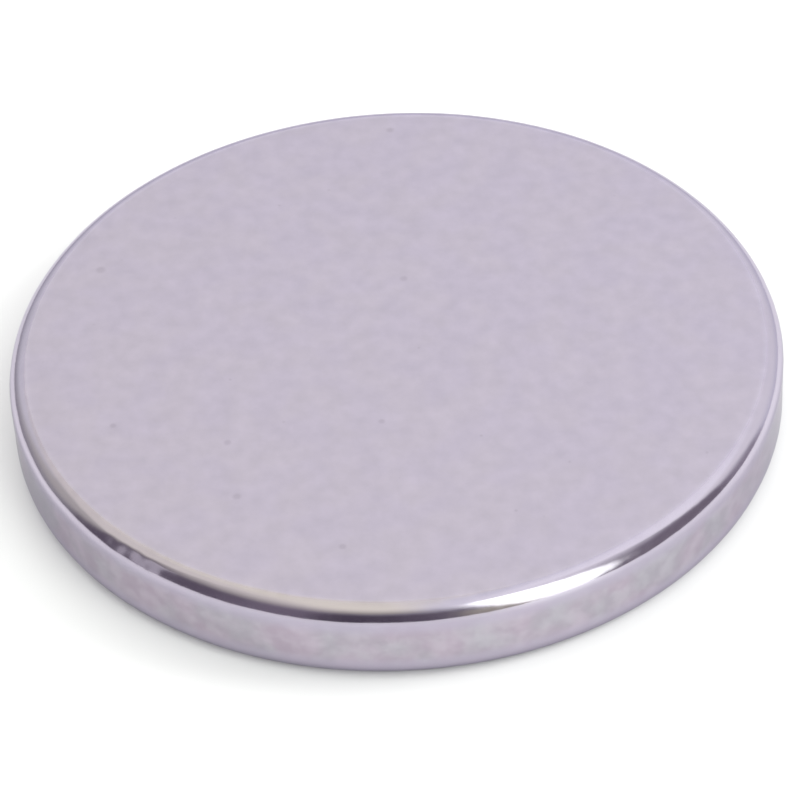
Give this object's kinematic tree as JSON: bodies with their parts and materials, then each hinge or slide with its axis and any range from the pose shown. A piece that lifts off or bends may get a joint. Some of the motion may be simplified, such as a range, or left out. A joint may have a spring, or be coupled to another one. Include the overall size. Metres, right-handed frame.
{
  "type": "disc magnet",
  "caption": "Thin round bench magnet: a plated disc with flat faces, a straight rim and tumbled, rounded edges.",
  "frame": {"origin": "centre of the lower flat face", "axes": "+Z along the disc's axis, from the lower face to the upper face; X and Y lie in the lower face"},
  "size_m": [0.018, 0.018, 0.002],
  "materials": {
    "nickel_plating": "bright nickel plating over a tumbled sintered core, with a fine satin grain on the faces and polished edge rounds"
  },
  "bodies": {
    "root": {"magnet": "nickel_plating"}
  },
  "joints": []
}
